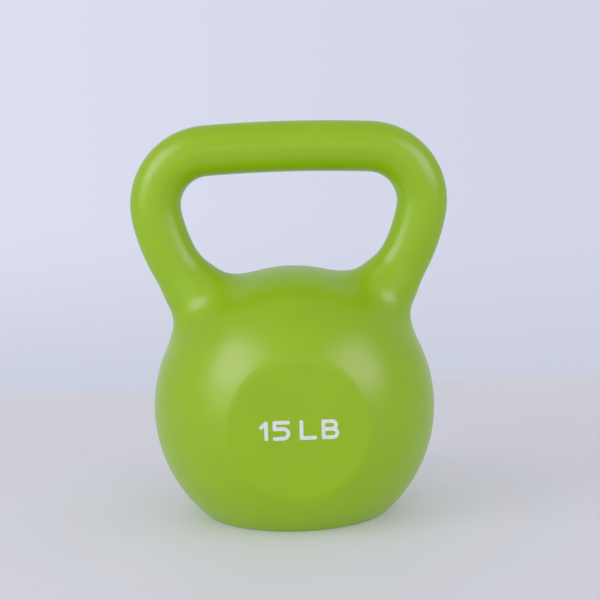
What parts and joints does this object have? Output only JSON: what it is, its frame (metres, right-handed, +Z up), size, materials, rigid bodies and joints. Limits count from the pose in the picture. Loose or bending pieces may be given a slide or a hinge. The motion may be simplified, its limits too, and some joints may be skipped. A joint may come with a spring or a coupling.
{
  "type": "kettlebell",
  "caption": "Vinyl-covered kettlebell: a ball with flat round faces and a flat base under a broad closed-loop handle for one or both hands.",
  "frame": {"origin": "centre of the base's underside, on the surface that the kettlebell stands on", "axes": "+Z up; the grip runs along X; the marked flat face looks along -Y"},
  "size_m": [0.1916, 0.1502, 0.2385],
  "materials": {
    "shell_vinyl": "satin, fine moulded texture",
    "ballast_cement": "rough cast cement",
    "rod_steel": "plain drawn bar",
    "plug_vinyl": "satin",
    "mark_ink": "flat printed ink"
  },
  "bodies": {
    "root": {"outer_shell": "shell_vinyl", "ballast_core": "ballast_cement", "handle_rod": "rod_steel", "filler_plug": "plug_vinyl", "weight_mark": "mark_ink"}
  },
  "joints": []
}
